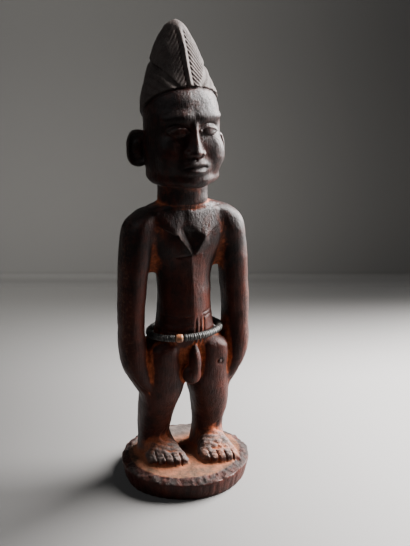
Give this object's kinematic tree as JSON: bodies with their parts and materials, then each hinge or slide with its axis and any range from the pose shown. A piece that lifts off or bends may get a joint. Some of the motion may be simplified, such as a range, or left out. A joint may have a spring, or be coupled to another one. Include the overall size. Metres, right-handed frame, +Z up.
{
  "type": "ibeji figure",
  "caption": "Carved wooden standing ibeji twin figure with a tall ridged coiffure, arms at its sides and black disc beads round its hips, on a low round base cut from the same block.",
  "frame": {"origin": "centre of the underside of the base", "axes": "+Z up from the base to the tip of the crest, the figure faces -Y and its own left side is at +X"},
  "size_m": [0.0802, 0.0767, 0.2725],
  "materials": {
    "carved_wood": "dark brown-black handled patina over reddish wood, orange-red camwood powder in the recesses, greyed worn edges, soft sheen",
    "black_disc_beads": "black nut-shell discs, worn satin, grey dust in the seams",
    "pale_bead": "opaque pale terracotta-amber bead, worn satin"
  },
  "bodies": {
    "root": {"figure": "carved_wood", "hip_beads": "black_disc_beads", "pale_bead": "pale_bead"}
  },
  "joints": []
}
